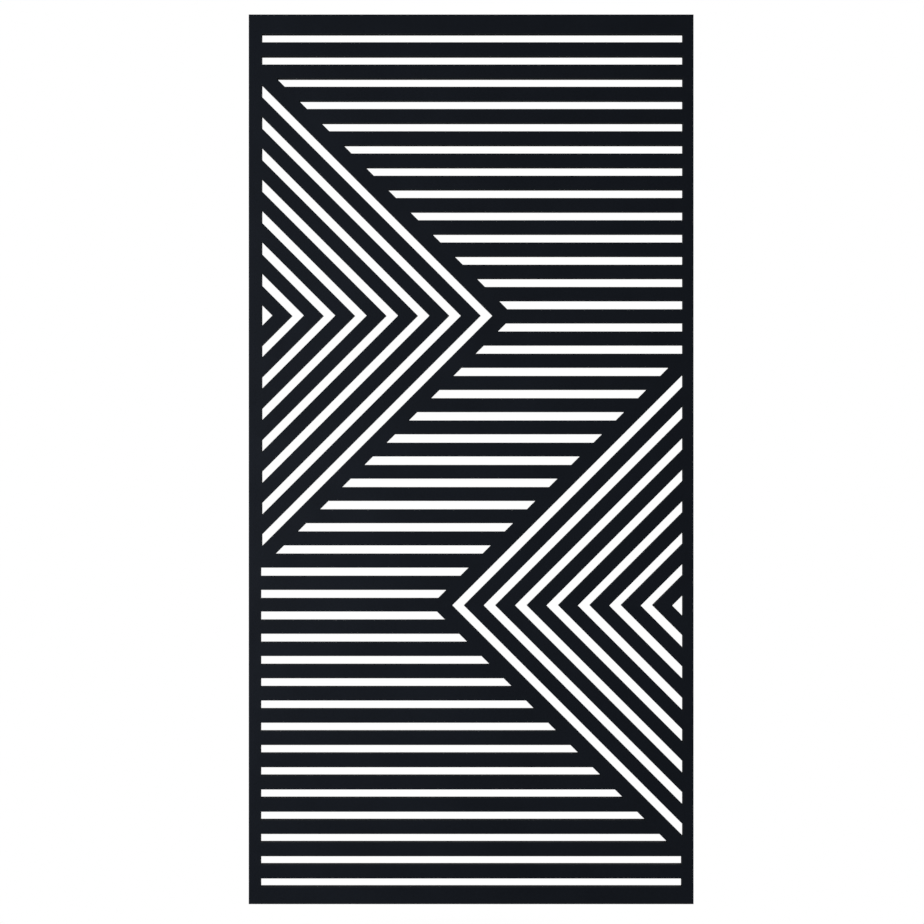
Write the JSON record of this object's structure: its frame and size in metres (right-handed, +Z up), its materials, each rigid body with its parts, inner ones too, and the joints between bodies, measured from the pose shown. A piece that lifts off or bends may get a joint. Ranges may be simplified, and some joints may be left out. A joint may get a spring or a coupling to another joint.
{
  "type": "hanging room divider",
  "caption": "Tall flat black board cut through with level slots and nested V-shaped slots, hung by folding D-ring hangers on its back to screen off part of a room.",
  "frame": {"origin": "midway between the two hang rings, on the line that both rings turn about, 7 mm below the board's top edge", "axes": "+X to the right as seen from the front, +Y from the front to the back, +Z up; the front faces -Y"},
  "size_m": [0.9, 0.0193, 1.8],
  "materials": {
    "board_lacquer": "matte",
    "plate_zinc": "satin",
    "ring_steel": "polished",
    "screw_zinc": "satin"
  },
  "bodies": {
    "board": {"screen_board": "board_lacquer", "left_hanger_plate": "plate_zinc", "right_hanger_plate": "plate_zinc", "left_inner_screw": "screw_zinc", "left_outer_screw": "screw_zinc", "right_inner_screw": "screw_zinc", "right_outer_screw": "screw_zinc"},
    "left_ring": {"left_hanger_ring": "ring_steel"},
    "right_ring": {"right_hanger_ring": "ring_steel"}
  },
  "joints": [
    {"name": "left_ring_fold", "type": "hinge", "parent": "board", "child": "left_ring", "pos_m": [-0.3, 0, 0], "axis": [1, 0, 0], "range_deg": [0, 194]},
    {"name": "right_ring_fold", "type": "hinge", "parent": "board", "child": "right_ring", "pos_m": [0.3, 0, 0], "axis": [1, 0, 0], "range_deg": [0, 194]}
  ]
}
